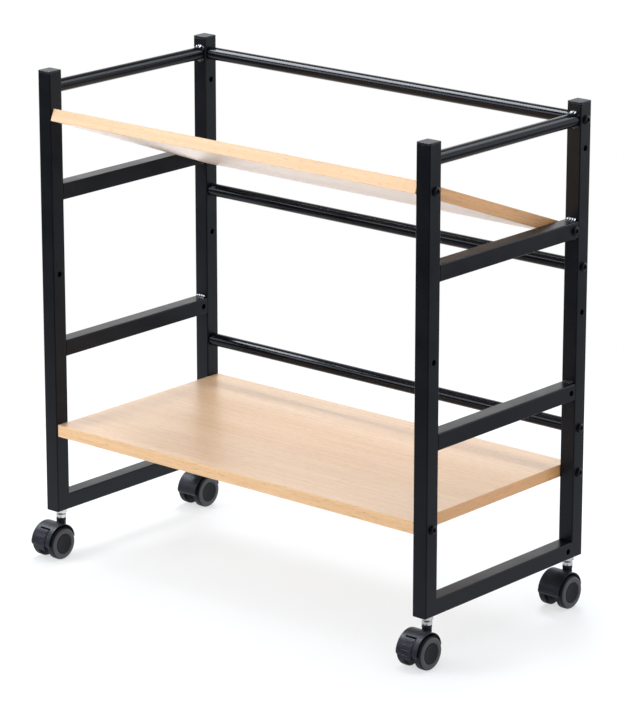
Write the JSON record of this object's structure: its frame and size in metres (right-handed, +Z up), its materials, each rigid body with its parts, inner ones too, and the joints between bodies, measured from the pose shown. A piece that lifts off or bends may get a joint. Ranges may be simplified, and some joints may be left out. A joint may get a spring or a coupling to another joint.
{
  "type": "rolling shelf cart",
  "caption": "Open rolling shelf cart: black square-tube side frames, round back bars, one level and one tilted woodgrain board, twin-wheel swivel casters with brake levers at the front.",
  "frame": {"origin": "on the floor, in the middle of the outline with the casters pointing forward", "axes": "+X along the cart to its right side, +Y from front to back, +Z up"},
  "size_m": [0.617, 0.3197, 0.611],
  "materials": {
    "powder_coat": "matt black powder coat",
    "moulded_black": "moulded black plastic",
    "wheel_grey": "dark grey moulded plastic",
    "black_screw": "black oxide",
    "zinc": "bright zinc plate",
    "woodgrain": "light woodgrain facing on particle board, pale underside"
  },
  "bodies": {
    "frame": {"left_front_post": "powder_coat", "left_front_cap": "moulded_black", "left_rear_post": "powder_coat", "left_rear_cap": "moulded_black", "left_bottom_rail": "powder_coat", "left_lower_rail": "powder_coat", "left_upper_rail": "powder_coat", "left_top_bar": "powder_coat", "right_front_post": "powder_coat", "right_front_cap": "moulded_black", "right_rear_post": "powder_coat", "right_rear_cap": "moulded_black", "right_bottom_rail": "powder_coat", "right_lower_rail": "powder_coat", "right_upper_rail": "powder_coat", "right_top_bar": "powder_coat", "bottom_back_bar": "powder_coat", "bottom_back_bar_screw_left": "black_screw", "bottom_back_bar_screw_right": "black_screw", "middle_back_bar": "powder_coat", "middle_back_bar_screw_left": "black_screw", "middle_back_bar_screw_right": "black_screw", "top_back_bar": "powder_coat", "top_back_bar_screw_left": "black_screw", "top_back_bar_screw_right": "black_screw", "lower_shelf": "woodgrain", "lower_shelf_screw_left_front": "black_screw", "lower_shelf_screw_left_rear": "black_screw", "lower_shelf_screw_right_front": "black_screw", "lower_shelf_screw_right_rear": "black_screw", "tilted_shelf": "woodgrain", "tilted_shelf_screw_left_front": "black_screw", "tilted_shelf_screw_left_rear": "black_screw", "tilted_shelf_screw_right_front": "black_screw", "tilted_shelf_screw_right_rear": "black_screw", "left_front_caster_stem": "zinc", "left_rear_caster_stem": "zinc", "right_front_caster_stem": "zinc", "right_rear_caster_stem": "zinc"},
    "left_front_caster": {"left_front_caster_hood": "moulded_black", "left_front_caster_axle": "zinc"},
    "left_front_caster_left_wheel": {"left_front_caster_left_wheel": "wheel_grey"},
    "left_front_caster_right_wheel": {"left_front_caster_right_wheel": "wheel_grey"},
    "left_brake_lever": {"left_brake_lever": "moulded_black"},
    "left_rear_caster": {"left_rear_caster_hood": "moulded_black", "left_rear_caster_axle": "zinc"},
    "left_rear_caster_left_wheel": {"left_rear_caster_left_wheel": "wheel_grey"},
    "left_rear_caster_right_wheel": {"left_rear_caster_right_wheel": "wheel_grey"},
    "right_front_caster": {"right_front_caster_hood": "moulded_black", "right_front_caster_axle": "zinc"},
    "right_front_caster_left_wheel": {"right_front_caster_left_wheel": "wheel_grey"},
    "right_front_caster_right_wheel": {"right_front_caster_right_wheel": "wheel_grey"},
    "right_brake_lever": {"right_brake_lever": "moulded_black"},
    "right_rear_caster": {"right_rear_caster_hood": "moulded_black", "right_rear_caster_axle": "zinc"},
    "right_rear_caster_left_wheel": {"right_rear_caster_left_wheel": "wheel_grey"},
    "right_rear_caster_right_wheel": {"right_rear_caster_right_wheel": "wheel_grey"}
  },
  "joints": [
    {"name": "left_front_caster_swivel", "type": "hinge", "parent": "frame", "child": "left_front_caster", "pos_m": [-0.29, -0.12065, 0], "axis": [0, 0, 1], "continuous": true},
    {"name": "left_front_caster_left_wheel_spin", "type": "hinge", "parent": "left_front_caster", "child": "left_front_caster_left_wheel", "pos_m": [-0.29, -0.13465, 0.02], "axis": [1, 0, 0], "continuous": true},
    {"name": "left_front_caster_right_wheel_spin", "type": "hinge", "parent": "left_front_caster", "child": "left_front_caster_right_wheel", "pos_m": [-0.29, -0.13465, 0.02], "axis": [1, 0, 0], "continuous": true},
    {"name": "left_brake", "type": "hinge", "parent": "left_front_caster", "child": "left_brake_lever", "pos_m": [-0.29, -0.14819, 0.03734], "axis": [1, 0, 0], "range_deg": [0, 4]},
    {"name": "left_rear_caster_swivel", "type": "hinge", "parent": "frame", "child": "left_rear_caster", "pos_m": [-0.29, 0.14535, 0], "axis": [0, 0, 1], "continuous": true},
    {"name": "left_rear_caster_left_wheel_spin", "type": "hinge", "parent": "left_rear_caster", "child": "left_rear_caster_left_wheel", "pos_m": [-0.29, 0.13135, 0.02], "axis": [1, 0, 0], "continuous": true},
    {"name": "left_rear_caster_right_wheel_spin", "type": "hinge", "parent": "left_rear_caster", "child": "left_rear_caster_right_wheel", "pos_m": [-0.29, 0.13135, 0.02], "axis": [1, 0, 0], "continuous": true},
    {"name": "right_front_caster_swivel", "type": "hinge", "parent": "frame", "child": "right_front_caster", "pos_m": [0.29, -0.12065, 0], "axis": [0, 0, 1], "continuous": true},
    {"name": "right_front_caster_left_wheel_spin", "type": "hinge", "parent": "right_front_caster", "child": "right_front_caster_left_wheel", "pos_m": [0.29, -0.13465, 0.02], "axis": [1, 0, 0], "continuous": true},
    {"name": "right_front_caster_right_wheel_spin", "type": "hinge", "parent": "right_front_caster", "child": "right_front_caster_right_wheel", "pos_m": [0.29, -0.13465, 0.02], "axis": [1, 0, 0], "continuous": true},
    {"name": "right_brake", "type": "hinge", "parent": "right_front_caster", "child": "right_brake_lever", "pos_m": [0.29, -0.14819, 0.03734], "axis": [1, 0, 0], "range_deg": [0, 4]},
    {"name": "right_rear_caster_swivel", "type": "hinge", "parent": "frame", "child": "right_rear_caster", "pos_m": [0.29, 0.14535, 0], "axis": [0, 0, 1], "continuous": true},
    {"name": "right_rear_caster_left_wheel_spin", "type": "hinge", "parent": "right_rear_caster", "child": "right_rear_caster_left_wheel", "pos_m": [0.29, 0.13135, 0.02], "axis": [1, 0, 0], "continuous": true},
    {"name": "right_rear_caster_right_wheel_spin", "type": "hinge", "parent": "right_rear_caster", "child": "right_rear_caster_right_wheel", "pos_m": [0.29, 0.13135, 0.02], "axis": [1, 0, 0], "continuous": true}
  ]
}
